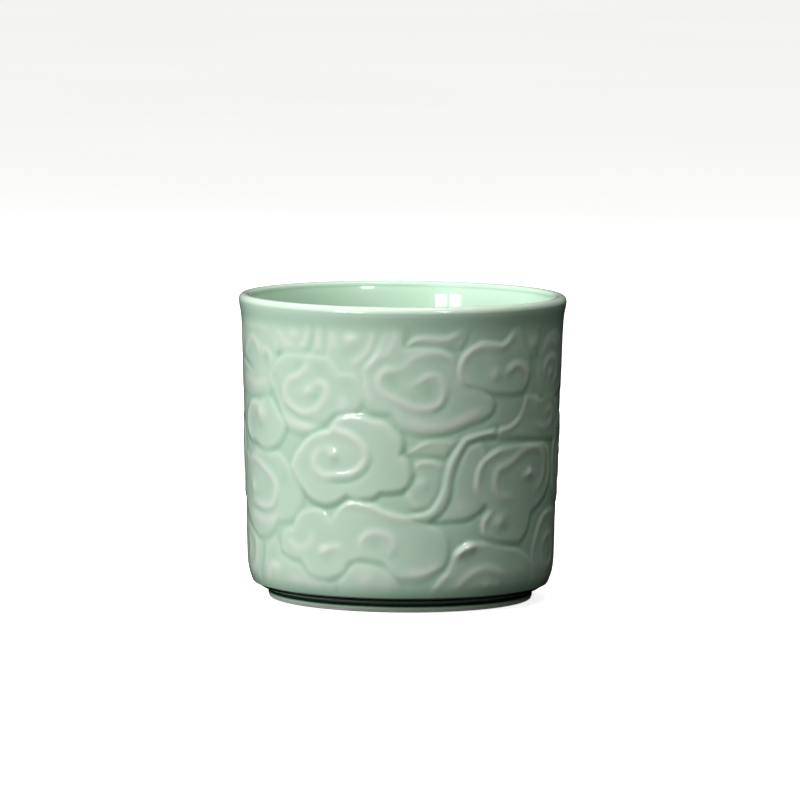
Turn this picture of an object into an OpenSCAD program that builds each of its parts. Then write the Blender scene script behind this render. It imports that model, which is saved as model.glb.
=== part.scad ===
// Brush pot: a glazed ceramic cylinder with clouds in low relief round its wall.
// Frame: the origin is the middle of the plane that the foot ring stands on, and +Z is up.
// The front looks along -Y. Angles on the wall are degrees to the right of the front.

/* [Pot] */
// Diameter over the lip
lip_d = 104; // [80:1:140]
// Height from the foot to the crest of the lip
height = 96.5; // [75:0.5:140]
// Thickness of the clay wall
wall_t = 2.6; // [2:0.1:5]
// How far the wall leans out on each side, from the heel to the neck
wall_lean = 1.6; // [0:0.1:6]

/* [Lip] */
// Height of the flared lip, from the neck to the crest
lip_h = 7.5; // [5:0.5:14]
// Thickness of the glazed lip at its crest
lip_t = 3.8; // [3:0.1:6]
// How far the lip stands out from the wall at the neck
lip_flare = 2.1; // [1:0.1:5]

/* [Base] */
// Thickness of the floor slab
floor_t = 4.4; // [3:0.1:8]
// Radius of the rounded heel, where the wall turns under
heel_r = 1.6; // [0.8:0.1:2]
// Depth of the floor's upper face above the start of the heel
heel_drop = 0.8; // [0.4:0.1:1.2]
// Radius of the cove where the floor meets the wall inside
cove_r = 3; // [1:0.5:8]
// How far the foot ring stands in from the wall
foot_inset = 6.7; // [4:0.1:15]
// Height of the foot ring below the floor slab
foot_h = 2.6; // [2.1:0.1:6]
// Width of the foot ring
foot_w = 4.5; // [3:0.5:10]
// Bevel on the edges that the foot ring stands on
foot_bevel = 0.6; // [0.3:0.1:0.7]

/* [Glaze] */
// Thickness of the glaze coat
glaze_t = 0.4; // [0.2:0.1:0.8]
// How far the glaze runs down the foot ring, which is bare below it
glaze_fall = 1.3; // [0.9:0.1:1.4]

/* [Clouds] */
// Height of the highest clouds above the wall
relief_t = 0.9; // [0.7:0.1:2]
// Fall from one layer of clouds to the layer under it
layer_step = 0.12; // [0.06:0.02:0.2]
// Height of the plain neck between the clouds and the lip
neck_gap = 0.6; // [0.2:0.1:4]

/* [Hidden] */

$fn = 96;
clay = [0.86, 0.85, 0.80];
celadon = [0.70, 0.83, 0.76];
lip_r = lip_d / 2;
lip_z = height - lip_h;
edge_r = lip_t / 2 - glaze_t;
crest_r = lip_r - lip_t / 2;
crest_z = height - lip_t / 2;
floor_z = foot_h + floor_t;
heel_z = floor_z - heel_drop;
wall_top_r = lip_r - lip_flare;
wall_bottom_r = wall_top_r - wall_lean;
inner_top_r = wall_top_r - wall_t;
inner_bottom_r = wall_bottom_r - wall_t;
foot_r = wall_bottom_r - foot_inset;
foot_inner_r = foot_r - foot_w;
bare_h = foot_h - glaze_fall;
// The heel's outer face turns under by this many degrees.
heel_turn = 60;
// Straight steps in the half circle of the crest, and in each other arc.
crest_steps = 12;
arc_steps = 6;

// The radius of the clay wall, which leans out from the heel to the neck.
function wall_r(z) = wall_bottom_r + wall_lean * (z - heel_z) / (lip_z - heel_z);

// The clouds are drawn on a wall of this radius, on a band that reaches between these heights, and are
// carried from there onto the real one, so that neighbours go on touching at every size.
drawn_r = 49.9;
drawn_low = 6;
drawn_high = 89.5;
band_low = heel_z;
band_high = lip_z - neck_gap;
function band_z(z) = band_low + (band_high - band_low) * (z - drawn_low) / (drawn_high - drawn_low);

// The pattern covers half a turn, so it comes twice.
repeats = 2;
top_layer = 4;
// A cloud's upper edge is rounded off to this share of its height, and its lower edge to the other.
upper_edge = 0.4;
lower_edge = 0.6;
// The prisms that cut the clouds out of the wall's skin end here, well outside the pot.
prism_end = lip_r * 1.1;

// Each cloud: [name, layer, outline]. An outline runs anticlockwise as seen from outside, and each
// point is [degrees, height on the drawn band, swell of the arc to the next point as a share of it].
CLOUDS = [
    ["cloud_crown_side", 1, [[-90, 76, 0], [-80, 76.8, 0], [-69, 74.2, 0], [-53, 74, 0.1],
        [-52, 81, 0.15], [-66, 87, 0.12], [-78, 87, 0.15]]],
    ["cloud_band_side", 1, [[-92, 67, 0.05], [-79, 66.5, 0.08], [-67, 65.8, 0], [-56, 66.6, 0],
        [-51, 73, 0.1], [-69, 74.2, 0], [-80, 76.8, 0], [-90, 76, 0.2]]],
    ["cloud_lip_left", 1, [[-50, 81, -0.05], [-39, 80.8, 0.25], [-34, 86, 0.1], [-34, 89.5, 0],
        [-52, 89.5, 0.2]]],
    ["cloud_lip_strand", 1, [[-33.4, 80.8, 0], [-29.4, 80.8, 0], [-28.6, 89.5, 0], [-33.2, 89.5, 0]]],
    ["cloud_lip_front", 1, [[-27.8, 80.4, 0], [-24, 77, 0], [-16, 75.3, 0.15], [-9, 84, 0.1],
        [-7.6, 89.5, 0], [-27.2, 89.5, 0.05]]],
    ["cloud_left_spiral", 2, [[-54, 73, 0], [-50, 62, 0], [-46.5, 57.5, 0.12], [-34, 55.6, 0],
        [-24, 62.4, 0], [-16, 63.8, 0.3], [-14.6, 71, 0.18], [-24, 77, 0.1], [-27, 80.3, 0.04],
        [-40, 80.5, 0.15]]],
    ["cloud_left_boss", 3, [[-77, 58, 0.3], [-67, 51.5, 0.05], [-66, 50.3, 0.1], [-51, 50.3, 0.2],
        [-46.5, 56.5, 0.15], [-50, 62, 0.15], [-57.5, 66.4, 0.1], [-66, 65.2, 0.2]]],
    ["cloud_left_wave", 2, [[-85, 37, 0.1], [-76, 25.6, 0.2], [-52, 25.3, 0], [-49, 27, 0.32],
        [-41, 41.4, 0.15], [-46.5, 46.8, 0.1], [-53, 49.5, 0], [-66, 49.8, 0], [-74, 46.2, 0.05],
        [-80, 48, 0.25]]],
    ["cloud_front_spiral", 4, [[-44, 44.5, 0.25], [-19, 37, 0.13], [-7.5, 38, 0.12], [0, 38.7, 0.27],
        [0, 50, 0.25], [-5, 59.5, 0.1], [-24, 61.8, 0], [-27, 56.6, 0.18]]],
    ["cloud_right_crown", 2, [[-13.5, 66, 0.14], [-4, 63, 0.14], [12, 56.4, 0.03], [22, 57.8, 0.05],
        [33, 60, 0.2], [34, 66.5, 0.15], [23.5, 70.6, 0], [20, 74, 0.05], [21, 81.2, 0.05],
        [-2, 84, 0.14], [-13, 76, 0.08]]],
    ["cloud_lip_ribbon", 1, [[-1.6, 84.2, -0.04], [12, 84, 0], [22, 83.6, 0.05], [25, 89.5, 0],
        [4, 89.5, 0.1]]],
    ["cloud_right_curl", 3, [[19.6, 76, 0.25], [23.7, 70.8, 0], [34, 68.6, 0.03], [49, 68.4, 0.12],
        [52.5, 76, 0.1], [47, 87, 0], [44, 86.6, -0.1], [38, 84.2, 0.02], [25, 83, 0.15]]],
    ["cloud_lip_right", 1, [[48.3, 87, 0], [53.3, 78, 0.05], [56, 78, 0], [57.5, 89.5, 0],
        [49.5, 89.5, 0]]],
    ["cloud_upper_side", 2, [[57, 74, 0], [59.5, 66.8, 0.08], [76, 66, 0.15], [86, 74, 0.2],
        [74, 85, 0.12], [58.5, 85, 0.03]]],
    ["cloud_right_arm", 2, [[36, 54.6, 0], [57, 53, 0], [76, 52, 0.25], [79, 63.5, 0.12], [60, 66, 0.05],
        [50, 67, -0.1], [44, 59.2, -0.05], [36, 57.6, 0]]],
    ["cloud_leaf", 1, [[2.5, 50.6, 0], [17.6, 49, -0.03], [21.5, 54, 0.03], [11, 55, 0.1]]],
    ["cloud_swirl", 1, [[1.2, 38, 0.05], [3, 33, 0.08], [10.4, 33.4, 0.03], [13.6, 38, 0],
        [15.4, 46.6, 0.08], [4.5, 47.8, 0.1]]],
    ["cloud_long_ribbon", 4, [[-27, 29.4, -0.06], [-18, 33.5, -0.08], [2, 28.8, 0.08],
        [10.5, 29.2, 0.14], [18.5, 40, -0.06], [25, 53.6, -0.04], [36, 55.4, 0], [36, 57.4, 0.04],
        [23, 55.6, 0.06], [14.3, 40, -0.12], [8, 33, -0.14], [-2, 32.4, 0.08], [-18, 36, 0.08]]],
    ["cloud_front_base", 3, [[-49, 17.6, 0.1], [-39.5, 14.4, 0.22], [-20, 14.2, 0], [-17, 16.6, -0.03],
        [-6.5, 15.6, 0.05], [1, 10.8, 0.08], [13, 12.6, 0.3], [14.6, 25.6, 0.08], [11, 28.6, 0],
        [2, 28.4, 0], [-18, 33.1, 0], [-27, 29.4, 0.1], [-33, 32.2, 0.12], [-42, 27, 0.12]]],
    ["cloud_foot_front", 1, [[-24.6, 9.6, 0.1], [-22, 6, 0], [-1, 6, 0], [-0.4, 9.8, 0.05],
        [-7, 15, 0.03], [-17, 16, 0]]],
    ["cloud_crescent", 1, [[15.6, 30.6, 0.12], [30.6, 33.4, 0], [28.4, 38, 0], [28.4, 46, 0],
        [28.6, 52.6, 0], [25.2, 51.6, 0.06], [20.6, 41, 0.1]]],
    ["cloud_right_spiral", 3, [[27.8, 41, 0.18], [33.2, 34.4, 0], [31, 28, 0.2], [36, 22.6, 0.04],
        [49.5, 20.8, 0.12], [55.5, 28.4, 0.14], [65, 33, 0.12], [71, 42, 0.2], [62, 52.2, 0.02],
        [39, 52.2, 0.12]]],
    ["cloud_foot_right", 2, [[14, 6, 0], [54.5, 6, 0.05], [56.2, 16, 0.03], [49.5, 19.6, 0.06],
        [35, 22.3, 0.06], [25, 22.9, 0.12], [19.4, 18.6, 0], [17.4, 14, 0.05], [12, 9.4, 0]]],
    ["cloud_foot_side", 2, [[57, 6, 0], [84, 6, 0.15], [86, 22, 0.15], [76, 30, 0.03], [66, 30, 0.1],
        [58.6, 21, 0.04]]],
    ["cloud_side_spiral", 3, [[74, 36, 0.1], [84, 31, 0.2], [95, 37, 0.15], [98.6, 49, 0.25],
        [90, 58, 0.14], [80, 60.5, 0.1], [73.6, 53, 0.1]]],
    ["cloud_foot_left", 1, [[-62, 6, 0], [-27, 6, 0], [-26, 9.4, 0.08], [-36, 12, 0.05], [-41, 14.6, 0],
        [-49.6, 16.4, 0.05], [-53, 22.8, 0], [-60, 19, 0.05]]],
    ["cloud_foot_back", 1, [[-92, 6, 0], [-66, 6, 0], [-66.5, 10, 0.15], [-63.5, 18.4, 0.05],
        [-76, 23.8, 0.03], [-84, 25, 0.12]]]
];
// An arc from point a to point b, which swells to the right of the way by a share of its length.
function arc(a, b, swell) =
    swell == 0 ? [a] :
    let(
        mid = (a + b) / 2,
        way = b - a,
        side = [way[1], -way[0]],
        rise = (0.25 - swell * swell) / (2 * swell),
        centre = mid - side * rise,
        radius = norm(a - centre),
        start = atan2(a[1] - centre[1], a[0] - centre[0]),
        turn = 4 * atan(2 * swell)
    )
    [for (i = [0:arc_steps - 1])
        centre + radius * [cos(start + turn * i / arc_steps), sin(start + turn * i / arc_steps)]];

function row(name) = [for (c = CLOUDS) if (c[0] == name) c][0];
function place(name) = [for (i = [0:len(CLOUDS) - 1]) if (CLOUDS[i][0] == name) i][0];
function middle(c) =
    let(degrees = [for (p = c[2]) p[0]])
    (min(degrees) + max(degrees)) / 2;
function lies_over(a, b) =
    a[1] > b[1] || (a[1] == b[1] && place(a[0]) > place(b[0]));

// The outline as flat points across a cloud: the way round the wall from its middle, and the height.
function drawn_points(c) = [for (p = c[2]) [drawn_r * sin(p[0] - middle(c)), p[1]]];
function outline(c) =
    let(points = drawn_points(c), n = len(points))
    [for (i = [0:n - 1])
        for (p = arc(points[i], points[(i + 1) % n], c[2][i][2]))
            [p[0] * wall_top_r / drawn_r, band_z(p[1])]];

// The corners of the box round an outline, each in degrees round the pot and millimetres up it.
function box(c) =
    let(
        x = [for (p = outline(c)) p[0]],
        z = [for (p = outline(c)) p[1]]
    )
    [for (k = [[min(x), min(z)], [max(x), max(z)]]) [middle(c) + asin(k[0] / wall_bottom_r), k[1]]];

function meets(a, b) =
    a[0][0] < b[1][0] && b[0][0] < a[1][0] && a[0][1] < b[1][1] && b[0][1] < a[1][1];

// A straight prism through the wall, in the shape of a cloud.
module cloud_prism(c) {
    rotate([0, 0, middle(c)])
        rotate([90, 0, 0])
            linear_extrude(height = prism_end)
                polygon(outline(c));
}

// The skin of the wall that a layer of clouds fills.
module relief_skin(layer) {
    thick = relief_t - layer_step * (top_layer - layer);
    rotate_extrude()
        polygon([
            [wall_r(band_low), band_low],
            [wall_r(band_low) + thick * lower_edge, band_low],
            [wall_r(band_low) + thick, band_low + thick],
            [wall_r(band_high) + thick, band_high - thick],
            [wall_r(band_high) + thick * upper_edge, band_high],
            [wall_r(band_high), band_high]
        ]);
}

// A cloud with its outline moved round the wall by some repeats of the pattern.
function moved(c, turns) = [c[0], c[1], [for (p = c[2]) [p[0] + 360 / repeats * turns, p[1], p[2]]]];

// What lies over a cloud, on the same repeat of the pattern or the ones beside it.
module clouds_over(c) {
    for (other = CLOUDS)
        if (lies_over(other, c))
            for (turns = [-1:1])
                if (meets(box(c), box(moved(other, turns))))
                    cloud_prism(moved(other, turns));
}

// One cloud, with what lies over it cut away, once on each repeat of the pattern.
module cloud(name) {
    c = row(name);
    color(celadon)
        for (i = [0:repeats - 1])
            rotate([0, 0, 360 / repeats * i])
                intersection() {
                    relief_skin(c[1]);
                    difference() {
                        cloud_prism(c);
                        clouds_over(c);
                    }
                }
}

// The inside of the clay from the middle of the floor to the lip, moved in by the coat.
function inside_line(coat) = concat(
    [[0, floor_z + coat]],
    [for (i = [0:arc_steps])
        let(a = -90 + 90 * i / arc_steps)
        [inner_bottom_r - cove_r + (cove_r - coat) * cos(a), floor_z + cove_r + (cove_r - coat) * sin(a)]],
    [[inner_top_r - coat, lip_z]]
);

// The round crest of the lip, from the inside to the outside.
function crest_line(coat) =
    [for (i = [0:crest_steps])
        let(a = 180 - 180 * i / crest_steps)
        [crest_r + (edge_r + coat) * cos(a), crest_z + (edge_r + coat) * sin(a)]];

// The flare outside the lip, from the crest down to the neck.
function flare_line(coat) =
    [for (i = [1:arc_steps])
        let(t = 1 - i / arc_steps)
        [wall_top_r + (crest_r + edge_r - wall_top_r) * t * t + coat, lip_z + (crest_z - lip_z) * t]];

// The rounded heel, from the cloud band down to where the underside starts.
function heel_line(coat) =
    [for (i = [0:arc_steps])
        let(a = -heel_turn * i / arc_steps)
        [wall_bottom_r - heel_r, heel_z] + (heel_r + coat) * [cos(a), sin(a)]];

function backwards(points) = [for (i = [len(points) - 1:-1:0]) points[i]];

// The clay wall, from the floor slab to the lip, with a cove at the floor.
module wall() {
    color(clay)
        rotate_extrude()
            polygon(concat(
                [for (p = inside_line(0)) if (p[0] > 0) p],
                [[wall_top_r, lip_z], [wall_r(floor_z), floor_z]]
            ));
}

// The lip, which flares out from the neck to a round crest.
module lip() {
    color(clay)
        rotate_extrude()
            polygon(concat([[inner_top_r, lip_z]], crest_line(0), flare_line(0)));
}

// The floor slab, with the rounded heel and the underside that falls from it to the foot ring.
module floor() {
    color(clay)
        rotate_extrude()
            polygon(concat(
                [[0, floor_z], [wall_r(floor_z), floor_z]],
                heel_line(0),
                [[foot_r, foot_h], [0, foot_h]]
            ));
}

// The ring that the pot stands on.
module foot_ring() {
    color(clay)
        rotate_extrude()
            polygon([
                [foot_inner_r, foot_bevel], [foot_inner_r + foot_bevel, 0],
                [foot_r - foot_bevel, 0], [foot_r, foot_bevel],
                [foot_r, foot_h], [foot_inner_r, foot_h]
            ]);
}

// The glaze that lines the pot and runs over the lip and down to the clouds.
module glaze_inside() {
    color(celadon)
        rotate_extrude()
            polygon(concat(
                inside_line(0), crest_line(0), flare_line(0),
                backwards(flare_line(glaze_t)), backwards(crest_line(glaze_t)),
                backwards(inside_line(glaze_t))
            ));
}

// The glaze under the clouds, round the heel and down the foot ring to its bare band.
module glaze_heel() {
    color(celadon)
        rotate_extrude()
            polygon(concat(
                [[foot_r, bare_h], [foot_r, foot_h]], backwards(heel_line(0)),
                heel_line(glaze_t), [[foot_r + glaze_t, foot_h - glaze_t], [foot_r + glaze_t, bare_h]]
            ));
}

// The glaze on the underside of the floor, inside the foot ring.
module glaze_base() {
    color(celadon)
        rotate_extrude()
            polygon([
                [0, foot_h - glaze_t], [foot_inner_r - glaze_t, foot_h - glaze_t],
                [foot_inner_r - glaze_t, bare_h], [foot_inner_r, bare_h],
                [foot_inner_r, foot_h], [0, foot_h]
            ]);
}

wall();
lip();
floor();
foot_ring();
glaze_inside();
glaze_heel();
glaze_base();
cloud("cloud_crown_side");  // cloud_crown_side
cloud("cloud_band_side");  // cloud_band_side
cloud("cloud_lip_left");  // cloud_lip_left
cloud("cloud_lip_strand");  // cloud_lip_strand
cloud("cloud_lip_front");  // cloud_lip_front
cloud("cloud_left_spiral");  // cloud_left_spiral
cloud("cloud_left_boss");  // cloud_left_boss
cloud("cloud_left_wave");  // cloud_left_wave
cloud("cloud_front_spiral");  // cloud_front_spiral
cloud("cloud_right_crown");  // cloud_right_crown
cloud("cloud_lip_ribbon");  // cloud_lip_ribbon
cloud("cloud_right_curl");  // cloud_right_curl
cloud("cloud_lip_right");  // cloud_lip_right
cloud("cloud_upper_side");  // cloud_upper_side
cloud("cloud_right_arm");  // cloud_right_arm
cloud("cloud_leaf");  // cloud_leaf
cloud("cloud_swirl");  // cloud_swirl
cloud("cloud_long_ribbon");  // cloud_long_ribbon
cloud("cloud_front_base");  // cloud_front_base
cloud("cloud_foot_front");  // cloud_foot_front
cloud("cloud_crescent");  // cloud_crescent
cloud("cloud_right_spiral");  // cloud_right_spiral
cloud("cloud_foot_right");  // cloud_foot_right
cloud("cloud_foot_side");  // cloud_foot_side
cloud("cloud_side_spiral");  // cloud_side_spiral
cloud("cloud_foot_left");  // cloud_foot_left
cloud("cloud_foot_back");  // cloud_foot_back
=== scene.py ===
import math

import bpy
import numpy as np
from mathutils import Matrix, Vector


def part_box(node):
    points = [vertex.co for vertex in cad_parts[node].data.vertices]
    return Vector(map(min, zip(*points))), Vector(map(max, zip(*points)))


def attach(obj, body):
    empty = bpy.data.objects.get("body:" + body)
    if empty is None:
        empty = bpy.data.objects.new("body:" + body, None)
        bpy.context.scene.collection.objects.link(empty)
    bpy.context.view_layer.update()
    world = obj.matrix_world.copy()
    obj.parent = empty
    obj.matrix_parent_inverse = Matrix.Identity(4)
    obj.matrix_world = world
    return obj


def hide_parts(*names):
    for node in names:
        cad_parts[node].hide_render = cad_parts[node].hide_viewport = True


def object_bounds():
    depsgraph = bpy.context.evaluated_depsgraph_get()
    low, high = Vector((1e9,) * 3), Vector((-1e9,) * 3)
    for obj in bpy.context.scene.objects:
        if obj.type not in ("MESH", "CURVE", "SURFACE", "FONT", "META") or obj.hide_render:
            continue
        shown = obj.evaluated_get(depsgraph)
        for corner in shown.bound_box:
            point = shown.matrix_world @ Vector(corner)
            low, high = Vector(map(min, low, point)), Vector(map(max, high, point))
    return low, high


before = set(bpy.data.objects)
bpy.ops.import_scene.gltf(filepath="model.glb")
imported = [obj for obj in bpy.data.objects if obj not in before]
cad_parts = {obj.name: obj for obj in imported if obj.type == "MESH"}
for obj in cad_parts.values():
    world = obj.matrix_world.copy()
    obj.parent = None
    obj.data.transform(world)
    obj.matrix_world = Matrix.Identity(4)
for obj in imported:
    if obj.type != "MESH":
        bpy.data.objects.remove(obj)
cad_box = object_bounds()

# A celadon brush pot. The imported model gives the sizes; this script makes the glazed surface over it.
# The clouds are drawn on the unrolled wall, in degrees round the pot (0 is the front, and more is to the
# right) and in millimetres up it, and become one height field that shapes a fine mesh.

MM = 0.001


def mm(value):
    """Metres from the imported model, as millimetres."""
    return value / MM


# ------------------------------------------------------------------ sizes, in millimetres
# The first two are as in the CAD model, and the rest come from the imported model.
GLAZE_T = 0.4
FOOT_W = 4.5
LIP_R = mm(cad_box[1].x)
HEIGHT = mm(cad_box[1].z)
FLOOR_TOP = mm(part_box("glaze_inside")[0].z) + GLAZE_T
WALL_TOP_R = mm(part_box("wall")[1].x)
BORE_TOP_R = WALL_TOP_R - 3.6      # the inside, below the part of it that opens out to the mouth
FOOT_R = mm(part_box("foot_ring")[1].x)
FOOT_TOP = mm(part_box("foot_ring")[1].z)
NECK_Z = mm(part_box("lip")[0].z)
RELIEF_TOP = NECK_Z + 0.5

# ------------------------------------------------------------------ the unrolled wall
COLUMNS = 440              # in half a turn
ROWS = 222                 # from the heel to the neck
BAND = (5.6, 92.0)         # heights that the relief mesh reaches, in mm
ROW_STEP = (BAND[1] - BAND[0]) / ROWS
DEG_TO_MM = math.radians(WALL_TOP_R)
PERIOD = 180.0             # the pattern comes twice round the pot

# How thin the glaze lies goes from 1 on a ridge, over 0 on a flat, to less than 0 in a furrow and in painted
# shade.
LAYER_HEIGHT = (0.1, 0.18, 0.25, 0.33, 0.42)   # the ground, which is filled too, and the four layers
GROUND_THIN = -0.15
EDGE = 1.8                 # width over which a cloud's edge falls
EDGE_OUT = 0.35            # how much of that lies outside its outline
RIM = (1.4, 1.2, 0.07)     # how far inside its edge a cloud's rim is highest, its width and its height
SOFT_RIM = 0.4             # the share of its rim that a cloud without a sharp edge keeps
LEE = (0.6, -0.8)          # edges facing this way, right and down, away from the light, get painted shade
LEE_RANGE = (0.35, 1.2)    # the lee starts at edges that face away by this much, and grows over this
LEE_LOSS = 0.6             # the share of its height that a rim loses in the lee
RIM_THIN_AND_SHADE = (0.7, 0.65)     # how thin the glaze is on a rim, and how much less so in the lee, as painted shade
FURROW = (0.6, 0.75)       # how far outside a cloud's edge the furrow round it lies, and its width
FURROW_DEPTH = (0.05, 0.16)   # its depth on the lit side, and how much more it has in the lee
FURROW_POOL_AND_SHADE = (0.1, 1.0)      # how much thicker the glaze lies in it, likewise; the lee's share is painted shade
DEEPEST_CUT = 0.18         # the furrows go this far into the ground where several edges meet
THICKEST_AND_SHADE = -0.8            # and the glaze, with its painted shade, is no thicker in them than this
LINE_HEIGHT = 0.32         # the drawn heights of lines and bosses are brought down to these shares
BOSS_HEIGHT = 0.45
FLANK = (2.2, 0.22)        # a line has a flank this many widths out, sunk by this share of its height
RIDGE_WIDER = 1.15         # the thin glaze on it is this many times as wide
FURROW_THICK = 0.9         # and this much thicker, instead, where the line is a furrow
BOSS_THIN = (2, 0.8)       # how many times its height a boss thins the glaze, and the most it does
TAPER = (0.12, 0.4)        # the share of a line over which each end tapers, and the height left there
SOFT = 0.45                # how far the glaze rounds the relief off, in mm
FADE_TOP = (RELIEF_TOP - 4.0, 6.0)   # where the clouds start to fade at the neck, and over what height
FADE_FOOT = 3.4            # the height over which they fade at the heel

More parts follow.
